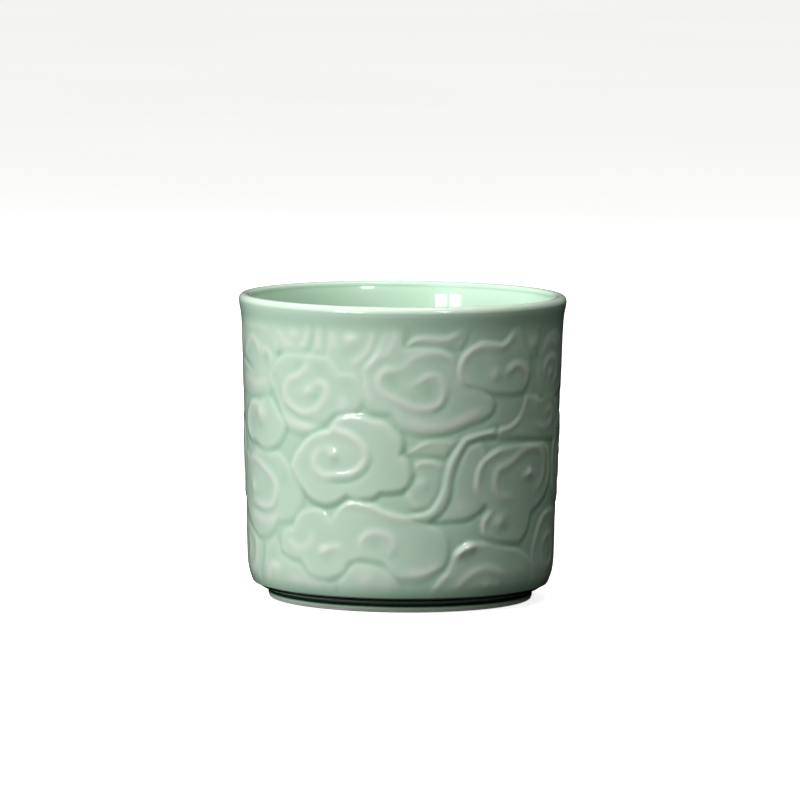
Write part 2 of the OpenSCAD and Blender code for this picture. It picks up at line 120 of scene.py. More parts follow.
# Each cloud: its layer, how sharp its edge is (1 where it isn't given), its outline, and what is on it.
# An outline runs anticlockwise, each point with the swell of the arc to the next one as a share of its
# length. A line is (height, width, points), and one of negative height is a furrow. A boss is
# (degrees, mm, radius, height), and one of negative height is a dish.
CLOUDS = {
    "crown_side": dict(layer=1, edge=0.4, outline=[
        (-96, 76, 0), (-80, 77.2, -0.06), (-69, 74.2, 0), (-53, 73.5, 0.1), (-50, 81, 0.08), (-60, 97, 0),
        (-92, 97, 0.05)],
        lines=[(0.4, 1.2, [(-76, 77.6), (-75.6, 80), (-72.5, 82.6), (-68, 84), (-64.5, 82.6)]),
               (0.25, 1.3, [(-78, 89), (-70, 88), (-62, 88.5), (-56, 87)]),
               (0.3, 1.0, [(-60.5, 80.4), (-57, 80.8), (-54.3, 79), (-54, 76.4)])],
        bosses=[(-62.8, 81, 1.7, 0.5), (-57.5, 78.3, 2.3, -0.19), (-84, 84, 2.5, 0.4)]),
    "band_side": dict(layer=1, edge=0.25, outline=[
        (-96, 67, 0.05), (-79, 66.6, 0.05), (-67, 65.8, 0), (-56, 66.6, 0), (-49, 73, 0.1), (-69, 74.2, 0),
        (-80, 77.2, 0), (-96, 76, 0)],
        lines=[(0.3, 1.4, [(-80, 70.6), (-73, 70.4), (-66, 69.4), (-60, 70.4), (-56, 70)])]),
    "lip_left": dict(layer=1, edge=0.35, outline=[
        (-52, 80.6, 0), (-39, 80.8, 0.2), (-34.4, 85, 0.1), (-33.4, 97, 0), (-56, 97, 0)],
        lines=[(0.3, 1.0, [(-38.6, 82.8), (-36.4, 84.6), (-35.4, 87), (-35.2, 90)]),
               (0.2, 1.2, [(-50, 88.5), (-47, 84.6), (-42, 83)])],
        bosses=[(-42, 86.8, 2.3, 0.6)]),
    "lip_strand": dict(layer=1, edge=0.3, outline=[
        (-34.6, 80.8, 0), (-28.6, 80.8, 0), (-28, 97, 0), (-33, 97, 0), (-33, 86, -0.1)],
        lines=[(0.4, 1.1, [(-30.6, 82), (-30.8, 85), (-30.4, 88), (-30, 90)])]),
    "lip_front": dict(layer=1, edge=0.4, outline=[
        (-28.4, 79, 0), (-25, 73, 0), (-12, 73, 0), (-6, 84, 0), (-5, 97, 0), (-27.6, 97, 0)],
        lines=[(0.45, 1.1, [(-24.4, 83), (-25.2, 85.5), (-24.6, 89)]),
               (0.3, 1.0, [(-17.4, 78.6), (-13.2, 81.2), (-10.8, 85), (-10.6, 89)])],
        bosses=[(-18.3, 86, 2.4, 0.7), (-20, 81.2, 2.2, -0.17)]),
    "left_spiral": dict(layer=2, edge=0.35, outline=[
        (-57, 71, -0.05), (-50, 63, 0), (-46.5, 57.2, 0.08), (-34, 55.6, 0), (-24, 62.4, 0),
        (-18, 62.6, 0.1), (-14, 66, 0.16), (-13.4, 72.2, 0.1), (-17, 75.6, 0.06), (-22.5, 75.8, 0.05),
        (-27.4, 80.8, 0.02), (-46, 81, 0.06), (-53.6, 76, 0.05)],
        lines=[(0.5, 1.1, [
            (-34.6, 79.6), (-36, 76.5), (-40, 73.6), (-44, 72.2), (-46, 69.4), (-46, 66.6), (-43.6, 64),
            (-38.4, 62.4), (-33, 63), (-29.6, 65.4), (-27.8, 68.4), (-28.6, 71.2), (-31.5, 71.6),
            (-34.4, 70.2)]),
            (-0.35, 0.9, [(-46, 63.6), (-41.5, 61.2), (-37, 59.6), (-29, 59)]),
            (-0.3, 1.1, [(-52.5, 73.6), (-50.4, 70), (-49.6, 66)]),
            (0.3, 1.2, [(-50, 61.6), (-46, 59.4), (-41, 58.2), (-33, 57.6)]),
            (0.2, 1.2, [(-22, 67.6), (-21, 65.6), (-22.4, 64)])],
        bosses=[(-35.5, 68.9, 1.6, 0.6), (-32.3, 67.4, 1.5, -0.28), (-39.6, 76.6, 2.0, -0.19),
                (-30, 76.4, 2.6, -0.17), (-20, 71.8, 2.6, -0.14)]),
    "left_boss": dict(layer=3, edge=0.6, outline=[
        (-77, 58, 0.3), (-68, 51.2, 0), (-65, 50.2, 0.1), (-54, 49.8, 0.14), (-46.2, 57, 0.1),
        (-50, 61.6, 0.1), (-56.8, 66.6, 0.06), (-63.6, 64.6, 0.06), (-72.6, 63.6, 0.1)],
        lines=[(0.35, 1.4, [(-66, 63.6), (-71.6, 62), (-74, 58.6), (-73.6, 54.8), (-70.6, 53)]),
               (-0.3, 0.8, [(-63, 64.6), (-58.4, 65.4), (-55, 64)])],
        bosses=[(-61.4, 60.6, 2.8, 1.1), (-62, 56.4, 1.3, -0.22), (-68, 57, 2.0, -0.11)]),
    "left_wave": dict(layer=2, edge=0.3, outline=[
        (-85, 37, 0.1), (-76, 25.6, 0.04), (-66, 21, 0.04), (-55.6, 22.8, 0.02), (-51.4, 27, 0.02),
        (-44, 27.8, 0.06), (-39.4, 32, 0.05), (-38.4, 38.4, 0.04), (-43.6, 44.2, 0.04), (-47.6, 48, 0.1),
        (-54, 49.4, 0), (-66, 49.8, 0), (-74, 46.2, 0.05), (-80, 48, 0.25)],
        lines=[(0.45, 1.2, [
            (-76, 44), (-71, 45.6), (-66, 45.4), (-61, 43.8), (-56.4, 41.7), (-53.2, 39.4), (-52.4, 36.2),
            (-54, 32.8), (-58.6, 31), (-64, 31.4), (-70, 32)]),
            (-0.3, 0.8, [(-50.4, 35), (-53, 31), (-58, 29.4), (-64, 29.4), (-70, 30)]),
            (0.3, 1.3, [(-73, 27.6), (-65, 26.6), (-57, 26.4), (-50, 28.2)])],
        bosses=[(-69.5, 36.6, 2.2, 0.6), (-58, 38, 2.8, -0.14), (-47.5, 40.6, 2.6, -0.14)]),
    "front_spiral": dict(layer=4, outline=[
        (-44.4, 44.6, 0.06), (-38.6, 38.2, 0.12), (-28, 33.6, 0.08), (-20, 36.8, 0.02), (-17, 35.8, 0.03),
        (-10, 36.4, 0.02), (-7.4, 38.2, 0.03), (0.6, 38.8, 0.28), (0.2, 50.4, 0.2), (-2.6, 58.2, 0.14),
        (-10, 61.4, 0.12), (-24, 61.8, 0), (-27.4, 57.6, 0.12), (-39, 52, 0.08)],
        lines=[(0.6, 1.15, [
            (-28, 56.8), (-23.6, 57.2), (-19, 56), (-15.2, 53.6), (-12.8, 50.6), (-13, 47.8),
            (-15.4, 45.2), (-19.4, 43.6), (-25, 43), (-29.6, 43.2), (-32.4, 45), (-32.8, 48),
            (-30.6, 50.6), (-27.4, 51.4)]),
            (-0.4, 0.9, [(-11.2, 50.6), (-11.4, 47), (-14.6, 43.6), (-19, 41.8), (-27, 41.4)])],
        bosses=[(-25, 50, 1.7, 0.9), (-24.4, 47.6, 1.6, -0.19), (-37, 46, 2.2, -0.11)]),
    "right_crown": dict(layer=2, edge=0.6, outline=[
        (-13.4, 65.8, 0.1), (-9.6, 63.4, 0.02), (-3.8, 63, 0.02), (-0.4, 58.6, 0.06), (8, 56.4, 0.03),
        (17, 57, 0.02), (26, 59.6, 0.05), (34.4, 62.6, 0.14), (34.6, 67.6, 0.1), (24, 71.4, 0),
        (20.2, 74.6, 0.04), (19.8, 80, 0.05), (14, 84, 0.03), (1, 84, -0.02), (1.6, 97, 0),
        (-7.6, 97, -0.1), (-9.2, 83.4, -0.06), (-14, 78, 0.06)],
        lines=[(0.5, 1.1, [
            (2, 77.6), (-2, 76.8), (-6, 76.4), (-8, 73.8), (-7.6, 70.8), (-4.6, 68.4), (0, 66.8), (4.6, 65),
            (9.5, 64.8), (13.4, 66), (15.2, 69), (14.8, 72.4), (12, 74.8), (8.6, 74.6), (5.4, 72.8),
            (3.2, 71.6)]),
            (0.4, 1.1, [(1.6, 78.6), (4, 80.6), (9, 81.8), (14, 81.8), (18.6, 80.4)]),
            (0.3, 1.3, [(-12.2, 77.4), (-9, 80.6), (-5, 82.6), (-2.6, 86), (-3, 90)]),
            (0.3, 1.4, [(2, 60.8), (9, 59), (17, 59.6), (24, 61.6), (30, 64)]),
            (0.3, 1.1, [(-11.8, 74), (-12.4, 70.6), (-10.8, 67.4)]),
            (-0.3, 0.9, [(16.4, 69), (15.4, 65.8), (12, 63.4)])],
        bosses=[(9.6, 70, 2.2, -0.28), (-3, 73, 2.4, -0.25), (12, 78.6, 3.0, -0.11)]),
    "lip_ribbon": dict(layer=1, edge=0.45, outline=[
        (0.6, 84, -0.04), (12, 83.8, 0), (21.6, 83.6, 0.05), (24, 90, 0), (20.6, 91, -0.1), (15, 88.4, 0.06),
        (5, 88, 0.06)],
        lines=[(0.6, 1.2, [(0.6, 84.2), (3, 85.8), (7, 86.8), (12, 86.2), (16, 86.4), (18.6, 87.6),
                           (20, 89.4)])]),
    "right_curl": dict(layer=3, edge=0.3, outline=[
        (19.2, 76, 0.2), (24, 71, 0), (34, 68.8, 0.02), (42, 68, 0.02), (49, 68.4, 0.1), (52.8, 75, 0.08),
        (50, 83, 0.02), (46, 91, 0), (41.4, 88.6, -0.12), (37.6, 85, 0.04), (29, 86, 0.06), (21, 81.4, 0.06)],
        lines=[(0.65, 1.15, [(40.5, 75.4), (43, 77), (46, 77.4), (49, 76.2), (51.4, 73.6), (52, 71)]),
               (0.4, 1.2, [(24.4, 72.8), (21.6, 74.4), (20.8, 77.2), (22, 80.4), (25, 82.8), (29.4, 84),
                           (34, 83.8), (38, 84), (40.6, 85.4), (42.6, 88)])],
        bosses=[(35, 74.8, 1.8, 0.5), (28, 78.4, 3.2, -0.19), (40, 80.4, 3.0, -0.17),
                (42, 71.6, 2.6, -0.11)]),
    "lip_right": dict(layer=1, edge=0.3, outline=[
        (47.6, 88, 0), (51.6, 80, 0.05), (55.4, 79, 0.05), (58, 86, 0), (58, 97, 0), (48, 97, 0)],
        bosses=[(53.8, 83.8, 2.0, 0.6)]),
    "upper_side": dict(layer=2, edge=0.25, outline=[
        (56, 74, 0), (57.6, 66.8, 0.08), (76, 66, 0.15), (88, 74, 0.14), (76, 86, 0.12), (62, 85.4, 0.03)],
        lines=[(0.5, 1.2, [(62, 73), (62.4, 76), (65, 78), (69.4, 78.2), (73.4, 76.4), (74.4, 73),
                           (71.5, 70.6)]),
               (0.3, 1.2, [(64, 82.8), (69, 83.4), (74, 82)])],
        bosses=[(67, 73.6, 1.8, 0.4), (60, 79, 2.0, -0.19)]),
    "right_arm": dict(layer=2, edge=0.5, outline=[
        (34, 54.8, 0), (45, 54.4, 0), (57, 53.2, 0), (76, 52, 0.25), (79, 63.5, 0.12), (60, 66.4, 0.05),
        (50, 68, -0.06), (47, 61.6, -0.06), (41.6, 58.8, 0), (34, 57.4, 0)],
        lines=[(0.4, 1.2, [(57, 58), (62, 56.8), (68, 57.3), (70.5, 60), (67.5, 62.4), (64.5, 61)]),
               (0.5, 1.0, [(36, 57), (42, 58), (46.4, 60.4), (48.6, 64), (50.4, 67)]),
               (0.25, 1.4, [(56, 71), (57.4, 67.4), (57, 63)])],
        bosses=[(53, 60.5, 3.0, -0.11)]),
    "leaf": dict(layer=1, edge=0.5, outline=[
        (2, 50.8, 0), (16, 49.6, -0.03), (22, 54.6, 0.03), (11, 55.4, 0.1)],
        lines=[(0.4, 0.9, [(2.8, 51.6), (6, 53), (10.4, 54.4)])]),
    "swirl": dict(layer=1, edge=0.45, outline=[
        (1.2, 37.6, 0.05), (4, 33.4, 0.08), (10.4, 33.4, 0.03), (14, 38, 0), (16.4, 46.6, 0.04),
        (12, 49, 0.08), (5, 48.4, 0.1)],
        lines=[(0.35, 0.9, [(5, 46.8), (8, 48), (12, 47.6), (15, 46.2)]),
               (0.3, 0.9, [(2.6, 37.2), (4, 35), (6, 33.8)])],
        bosses=[(7.6, 41.4, 1.8, 0.5), (4.2, 43, 1.5, -0.17)]),
    "long_ribbon": dict(layer=4, outline=[
        (2, 31.2, 0), (10.5, 29.2, 0.14), (18.5, 40, -0.06), (24.6, 53.4, -0.04), (36, 55.6, 0),
        (36, 58, 0.02), (23, 56, 0.06), (15.3, 44, -0.08), (11, 34, -0.1)]),
    "front_base": dict(layer=3, edge=0.35, outline=[
        (-50, 18, 0.06), (-45, 15.8, 0), (-40, 15.6, -0.04), (-37, 11.8, 0.14), (-24, 11.2, 0.1),
        (-19, 15.8, 0), (-14, 16.8, 0), (-6.5, 15.6, 0.05), (0, 10.6, 0.06), (8, 10.4, 0.04),
        (14.4, 13.2, 0.14), (18.2, 19.4, 0.08), (17, 25, 0.06), (11, 28.6, 0), (9.6, 32.6, 0),
        (2, 31.8, -0.02), (-6, 33.4, 0.04), (-13, 36, 0.12), (-21.6, 34.8, 0.02), (-26.4, 29.8, 0.08),
        (-30.6, 32.6, 0.1), (-40, 31, 0.08), (-43.6, 26, 0.06), (-49, 24.6, 0.06)],
        lines=[(0.5, 1.1, [(-25.4, 31), (-22, 34), (-17.6, 35), (-12, 34.2), (-5.6, 31.8), (0, 30.4),
                           (5, 30.4), (9.6, 31.8)]),
               (-0.5, 0.8, [(-17.6, 16), (-14, 16.6), (-10, 16.4), (-6, 15.4)]),
               (-0.4, 0.8, [(0, 10.8), (5, 10.6), (10, 11.6), (15, 13.8)]),
               (0.4, 1.1, [(-29.4, 19.2), (-26, 20.6), (-22.4, 20.6)]),
               (0.5, 1.15, [(-14.8, 20.4), (-14, 23.4), (-11, 25.4), (-7, 25.6), (-3.6, 24.2),
                            (-2.4, 21.6), (-3.6, 19.8)]),
               (0.25, 1.2, [(-46, 21.6), (-41, 19.6), (-36, 20.6), (-34, 24)]),
               (-0.25, 0.9, [(-47.4, 26), (-46.4, 23.6)]),
               (0.25, 1.3, [(3, 13.4), (9, 13.2), (13.6, 16)])],
        bosses=[(-29.6, 19.2, 1.7, 0.6), (-9.4, 22, 2.2, -0.19), (-27, 16.6, 2.2, -0.11),
                (-1.5, 18.6, 1.6, -0.14)]),
    "foot_front": dict(layer=1, edge=0.35, outline=[
        (-25, 8.4, 0), (-23, 3, 0), (-0.6, 3, 0), (0.2, 8.8, 0.05), (-3.4, 13.4, 0.04), (-8, 15.6, 0.03),
        (-17, 16.6, 0.03), (-21, 12.6, 0.04)],
        bosses=[(-12.6, 10.6, 2.4, 0.4), (-5, 9.4, 2.6, 0.2)]),
    "crescent": dict(layer=1, edge=0.9, outline=[
        (12, 29.2, 0), (24, 29.4, 0.05), (31.6, 33, 0), (34, 38, 0), (33, 50, 0), (30, 54.5, 0),
        (24, 54, 0), (19, 46, 0), (15.5, 37, 0)],
        bosses=[(23.4, 33, 3.0, 0.3)]),
    "right_spiral": dict(layer=3, edge=0.5, outline=[
        (27, 41, 0.12), (29.4, 36, 0.04), (33.6, 32.4, 0), (30.6, 29.6, 0.1), (31, 24.6, 0.06),
        (36, 22, 0.02), (43, 21.2, 0.02), (49.5, 20.8, 0.06), (54.4, 25, 0.04), (56, 30, 0.02),
        (64.6, 33.4, 0.1), (71, 40, 0.12), (70.4, 48, 0.12), (62, 52.4, 0.02), (39, 52.4, 0.06),
        (30, 48.4, 0.08)],
        lines=[(0.55, 1.15, [
            (44, 35.6), (40, 36), (37.4, 38), (36.4, 41.2), (37.6, 44.6), (42, 46.2), (46, 48), (50, 50),
            (55, 50.8), (60, 50), (63, 47.2), (64, 43.6), (62.6, 39.8), (58.6, 37.6)]),
            (0.35, 1.0, [(49.5, 42), (53, 42.6), (57, 42.4)]),
            (0.5, 1.1, [(29.2, 38.6), (28.6, 42), (29.6, 46), (33, 49.2), (38.4, 51.2)]),
            (0.45, 1.1, [(33.6, 31), (31.8, 28.6), (32, 25.6), (34.6, 23.2)]),
            (0.3, 1.2, [(67, 51), (69.4, 47), (70, 42), (68, 38.4)])],
        bosses=[(53.5, 43, 1.5, 1.0), (39, 28.4, 2.0, 0.7), (42.5, 26.4, 2.2, -0.19), (42, 41, 2.8, -0.17),
                (33, 42, 2.2, -0.17)]),
    "foot_right": dict(layer=2, edge=0.4, outline=[
        (12, 3, 0), (57, 3, 0.02), (57.6, 15.4, 0.03), (49.5, 19.4, 0.04), (44, 20.6, 0.02), (35, 22.6, 0.03),
        (26, 23, 0.1), (19, 18.4, 0), (16.6, 13.4, 0.04), (10.6, 7, 0.04)],
        lines=[(0.45, 1.2, [(21.4, 7.6), (24, 10.2), (27.4, 12.4), (31, 13.7), (35, 13.8), (39, 12.6),
                            (42.6, 10.6)]),
               (0.3, 1.2, [(13, 7.4), (15, 10.4), (17.6, 13)]),
               (0.3, 1.0, [(21, 19.4), (26, 21.2), (34, 20.8)])],
        bosses=[(22, 19.9, 2.1, 1.6), (25.8, 20.9, 2.1, 1.6), (34.4, 8.4, 1.5, 0.4),
                (38.4, 8, 1.5, 0.4), (50, 12, 3.0, 0.15)]),
    "foot_side": dict(layer=2, edge=0.5, outline=[
        (57.6, 3, 0), (84, 3, 0.15), (86, 22, 0.15), (76, 30.6, 0.03), (66, 30, 0.1), (58.8, 23, 0.04),
        (56.4, 16, 0)],
        lines=[(0.45, 1.1, [(66.4, 19), (68.6, 21.4), (72.5, 22), (76, 20.4), (77.5, 16.5),
                            (75.5, 12.6), (71, 12.2)]),
               (0.3, 1.1, [(65, 18), (66.6, 14), (70, 10.4)]),
               (0.35, 1.1, [(59.4, 19.6), (62, 24.4), (66, 28.2), (71, 29.6)])]),
    "side_spiral": dict(layer=3, edge=0.5, outline=[
        (74, 36, 0.1), (84, 31, 0.2), (95, 37, 0.15), (98.6, 49, 0.25), (90, 58, 0.14), (80, 60.5, 0.1),
        (73.6, 53, 0.1)],
        lines=[(0.5, 1.15, [
            (80, 57), (86, 55.5), (91, 51), (92, 45), (88, 40), (82.5, 40), (79.5, 44), (80.5, 48.5),
            (84.5, 49.6)])],
        bosses=[(85.6, 47.4, 1.6, 0.6), (90, 33.6, 2.0, 0.2)]),
    "foot_left": dict(layer=1, edge=0.35, outline=[
        (-62, 3, 0), (-26, 3, 0), (-25, 8.4, 0.04), (-33, 11, 0.02), (-38, 12.4, 0), (-41, 14.8, 0),
        (-49.6, 17, 0.03), (-53, 23, 0), (-60.6, 19, 0.05)],
        lines=[(0.4, 1.2, [(-59, 8.6), (-57.6, 11.2), (-54.6, 12.8), (-50.6, 12.4)]),
               (0.2, 1.4, [(-45, 9.4), (-38, 9.2), (-31, 7.6)])],
        bosses=[(-53, 11, 1.8, 0.3)]),
    "foot_back": dict(layer=1, edge=0.4, outline=[
        (-96, 3, 0), (-66, 3, 0), (-66, 10, 0.1), (-63, 19, 0.05), (-76, 24, 0.03), (-88, 25, 0.1)],
        lines=[(0.5, 1.3, [(-69.4, 20), (-68.2, 17), (-69.2, 13.4), (-72.4, 10.4), (-78, 9.6)]),
               (0.4, 1.2, [(-62.6, 18), (-61.6, 14.6), (-64, 10.6), (-67.6, 8.4)]),
               (0.35, 1.1, [(-78, 20.4), (-76.4, 17), (-77.6, 13.6)])]),
}


# ------------------------------------------------------------------ curves on the unrolled wall
def arc_points(a, b, swell, steps=8):
    """The arc from a to b, without b, that swells to the right of the way by a share of its length."""
    if swell == 0:
        return [a]
    way = b - a
    side = np.array([way[1], -way[0]])
    centre = (a + b) / 2 - side * (0.25 - swell ** 2) / (2 * swell)
    radius = np.hypot(*(a - centre))
    start = math.atan2(*(a - centre)[::-1])
    turn = 4 * math.atan(2 * swell) / steps
    return [centre + radius * np.array([math.cos(start + turn * i), math.sin(start + turn * i)])
            for i in range(steps)]


def closed_outline(points, shift):
    """A cloud's outline as points in mm on the unrolled wall."""
    flat = [np.array([(deg + shift) * DEG_TO_MM, z]) for deg, z, _ in points]
    around = []
    for start, end, (_, _, swell) in zip(flat, flat[1:] + flat[:1], points):
        around += arc_points(start, end, swell)
    return np.array(around)


def smooth_curve(points, steps):
    """A smooth curve through all the points, with so many steps from each to the next."""
    p = np.array(points, float)
    p = np.vstack([2 * p[0] - p[1], p, 2 * p[-1] - p[-2]])
    t = np.linspace(0, 1, steps, endpoint=False)[:, None]
    out = []
    for a, b, c, d in zip(p, p[1:], p[2:], p[3:]):
        out.append(0.5 * (2 * b + (c - a) * t + (2 * a - 5 * b + 4 * c - d) * t ** 2
                          + (3 * b - a - 3 * c + d) * t ** 3))
    return np.vstack(out + [p[-2:-1]])


def smooth_line(points, shift):
    """A smooth curve through the points of a line, in mm on the unrolled wall."""
    return smooth_curve([((deg + shift) * DEG_TO_MM, z) for deg, z in points], 5)


def to_segments(x, z, line):
    """Distance from each grid point to a chain of points, and how far along it the nearest one is."""
    best = np.full(x.shape, 1e9)
    along = np.zeros(x.shape)
    lengths = np.hypot(*np.diff(line, axis=0).T)
    total = lengths.sum()
    gone = 0.0
    for a, b, length in zip(line, line[1:], lengths):
        ux, uz = (b - a) / max(length, 1e-9)
        t = np.clip((x - a[0]) * ux + (z - a[1]) * uz, 0, length)
        d = np.hypot(x - a[0] - t * ux, z - a[1] - t * uz)
        near = d < best
        best[near] = d[near]
        along[near] = (gone + t[near]) / total
        gone += length
    return best, along


def inside(x, z, loop):
    """True at the grid points inside a closed outline."""
    odd = np.zeros(x.shape, bool)
    for a, b in zip(loop, np.roll(loop, -1, axis=0)):
        if a[1] == b[1]:
            continue
        crosses = (z < a[1]) != (z < b[1])
        odd ^= crosses & (x < a[0] + (z - a[1]) * (b[0] - a[0]) / (b[1] - a[1]))
    return odd


def ease(t):
    """0 below 0, 1 above 1, and smooth between them."""
    t = np.clip(t, 0, 1)
    return t * t * (3 - 2 * t)


# ------------------------------------------------------------------ the height field of the clouds
def cloud_surface(cloud, x, z, depth, edge, lee, shift):
    """One cloud's height above the wall, and how thin the glaze lies on it, with painted shade in its lee.
    depth is the distance inside its edge, edge is how sharp that is, and lee is 1 on the side away from the
    light, where shade is painted."""
    peak, width, rise = RIM
    rim = np.exp(-((depth - peak) / width) ** 2) * (SOFT_RIM + (1 - SOFT_RIM) * edge)
    top = LAYER_HEIGHT[cloud["layer"]] + rise * rim * (1 - LEE_LOSS * lee)
    # pale where the glaze is thin on the rim, and darker in the lee: painted shade
    thin = rim * (RIM_THIN_AND_SHADE[0] - RIM_THIN_AND_SHADE[1] * lee)
    end_share, end_height = TAPER
    flank_out, flank_drop = FLANK
    boss_rate, boss_most = BOSS_THIN
    for height, wide, points in cloud.get("lines", []):
        d, along = to_segments(x, z, smooth_line(points, shift))
        taper = ease(along / end_share) * ease((1 - along) / end_share) * (1 - end_height) + end_height
        bead = np.exp(-(d / wide) ** 2) - flank_drop * np.exp(-((d - flank_out * wide) / wide) ** 2)
        top += taper * height * LINE_HEIGHT * bead
        ridge = taper * np.exp(-(d / (RIDGE_WIDER * wide)) ** 2)
        thin = np.maximum(thin, ridge) if height > 0 else thin - FURROW_THICK * ridge
    for deg, mid_z, radius, height in cloud.get("bosses", []):
        r = np.hypot(x - (deg + shift) * DEG_TO_MM, z - mid_z) / radius
        top += height * BOSS_HEIGHT * np.exp(-r ** 2)
        thinned = np.clip(boss_rate * height, -boss_most, boss_most)
        thin = np.clip(thin + thinned * np.exp(-r ** 2), -1, 1)
    return top, thin


def relief_field():
    """Height of the clouds over the wall, in mm, and how thin the glaze lies, with painted shade in the lee
    of their edges, over one half turn, after the heights of its rows."""
    degrees = -PERIOD / 2 + PERIOD * np.arange(COLUMNS) / COLUMNS
    heights = np.linspace(*BAND, ROWS + 1)
    x, z = np.meshgrid(degrees * DEG_TO_MM, heights)
    field = np.full(x.shape, LAYER_HEIGHT[0])
    thin = np.full(x.shape, GROUND_THIN)
    margin = 3.0                                     # how far outside its outline a cloud still counts
    furrow_out, furrow_width = FURROW
    lee_start, lee_width = LEE_RANGE
    for cloud in sorted(CLOUDS.values(), key=lambda c: c["layer"]):
        for shift in (-PERIOD, 0, PERIOD):
            loop = closed_outline(cloud["outline"], shift)
            low, high = loop.min(0) - margin, loop.max(0) + margin
            columns = np.where((x[0] > low[0]) & (x[0] < high[0]))[0]
            rows = np.where((z[:, 0] > low[1]) & (z[:, 0] < high[1]))[0]
            if not len(columns) or not len(rows):
                continue
            part = np.ix_(rows, columns)
            px, pz = x[part], z[part]
            depth, _ = to_segments(px, pz, np.vstack([loop, loop[:1]]))
            depth = np.where(inside(px, pz, loop), depth, -depth)
            slope_z, slope_x = np.gradient(depth, heights[1] - heights[0], x[0, 1] - x[0, 0])
            facing = -LEE[0] * slope_x - LEE[1] * slope_z    # 1 right in the lee, -1 away from it
            lee = ease((lee_start + facing) / lee_width)
            edge = cloud.get("edge", 1.0)
            top, top_thin_and_shade = cloud_surface(cloud, px, pz, np.maximum(depth, 0), edge, lee, shift)
            cover = ease((depth + EDGE_OUT) / EDGE)
            groove = edge * np.exp(-((depth + furrow_out) / furrow_width) ** 2)
            cut = (FURROW_DEPTH[0] + FURROW_DEPTH[1] * lee) * groove
            # painted shade: the glaze colour is made darker in the furrow in the lee
            pooled_and_shaded = (FURROW_POOL_AND_SHADE[0] + FURROW_POOL_AND_SHADE[1] * lee) * groove
            field[part] = (field[part] - cut) * (1 - cover) + top * cover
            thin[part] = (thin[part] - pooled_and_shaded) * (1 - cover) + top_thin_and_shade * cover
    return heights, np.maximum(field, LAYER_HEIGHT[0] - DEEPEST_CUT), np.maximum(thin, THICKEST_AND_SHADE)


def blur(field, sigma_mm):
    """A soft field, as under a glaze: it wraps round the pot, and its top and bottom rows run on."""
    for axis, step in ((1, PERIOD * DEG_TO_MM / COLUMNS), (0, ROW_STEP)):
        reach = int(3 * sigma_mm / step) + 1
        k = np.exp(-0.5 * (np.arange(-reach, reach + 1) * step / sigma_mm) ** 2)
        k /= k.sum()
        pad = [(0, 0), (0, 0)]
        pad[axis] = (reach, reach)
        wide = np.pad(field, pad, mode="wrap" if axis else "edge")
        out = np.zeros(field.shape)
        for i, weight in enumerate(k):
            cut = [slice(None), slice(None)]
            cut[axis] = slice(i, i + field.shape[axis])
            out += weight * wide[tuple(cut)]
        field = out
    return field


# ------------------------------------------------------------------ the profile of the pot, in millimetres
LEAN = 0.031                   # how far the wall leans out for each mm of height
HEEL_CURL = (13.5, 8, 1.2)     # it curls in below the first height, and at the second below that by this
FLARE = (NECK_Z - 4.5, 7.9, 0.7)   # and it flares out above the first height, in the same way
WIDEST_Z = HEIGHT - 2.0        # where the lip is widest
CREST_R = LIP_R - 1.7          # the top of the lip
MOUTH_R = LIP_R - 3.8          # the inner edge of the lip
COVE_R = 6.5                   # where the inside of the wall turns into the floor
GLAZE_END = 0.7                # the glaze stops this far above the resting plane
GLAZE_ROLL = 0.35              # radius of the soft edge in which it ends

# ------------------------------------------------------------------ depth of the glaze, and painted shade, from 0 to the darkest
WALL_POOL = 0.45               # on the plain wall
DRAWN_POOL = -0.34             # what a glaze thinness of 1 adds on the clouds
DRAWN_SOFT = 0.5               # and how softly, in mm
GATHERED = (4.0, 0.3)          # the glaze also gathers in what lies below the 4 mm or so round it
HIDDEN_POOL = 0.5              # on the faces inside the pot
BASE_POOL = (0.5, 0.75)        # under the floor, and in the corner at the foot ring
DARKEST = 1.3                  # where the colour is nearly black: painted shade under the heel


def wall_line(z):
    """Radius of the wall under the clouds: it leans out, curls in at the heel and flares at the lip."""
    curl_z, curl_height, curl = HEEL_CURL
    flare_z, flare_height, flare = FLARE
    straight = WALL_TOP_R - 1.3 + LEAN * (z - 16)
    inward = curl * np.clip((curl_z - z) / curl_height, 0, 2) ** 2
    outward = flare * np.clip((z - flare_z) / flare_height, 0, 2) ** 2
    return straight - inward + outward


def heel_pool_and_shade(z):
    """How much deeper the glaze lies towards the heel, and painted shade under the heel."""
    return 0.3 * np.exp(-((np.maximum(z, BAND[0]) - BAND[0]) / 2.0) ** 2)


def neck_shade(z):
    """Painted shade, a little darker, where the lip flares out of the wall."""
    return 0.15 * np.exp(-((z - NECK_Z - 1.5) / 2.5) ** 2)


def quarter(mid, radii, start, end, steps):
    """Part of an ellipse, from one angle to another, in degrees."""
    return [(mid[0] + radii[0] * math.cos(a), mid[1] + radii[1] * math.sin(a))
            for a in np.radians(np.linspace(start, end, steps))]


def smooth_profile(points, steps):
    """A smooth curve through profile points, as a list of points."""
    return [tuple(q) for q in smooth_curve(points, steps)]


def middle_of_wall(z):
    """Radius at which the outer and inner pieces meet, out of sight inside the wall."""
    return WALL_TOP_R - 3.9 + 0.033 * (z - BAND[0])


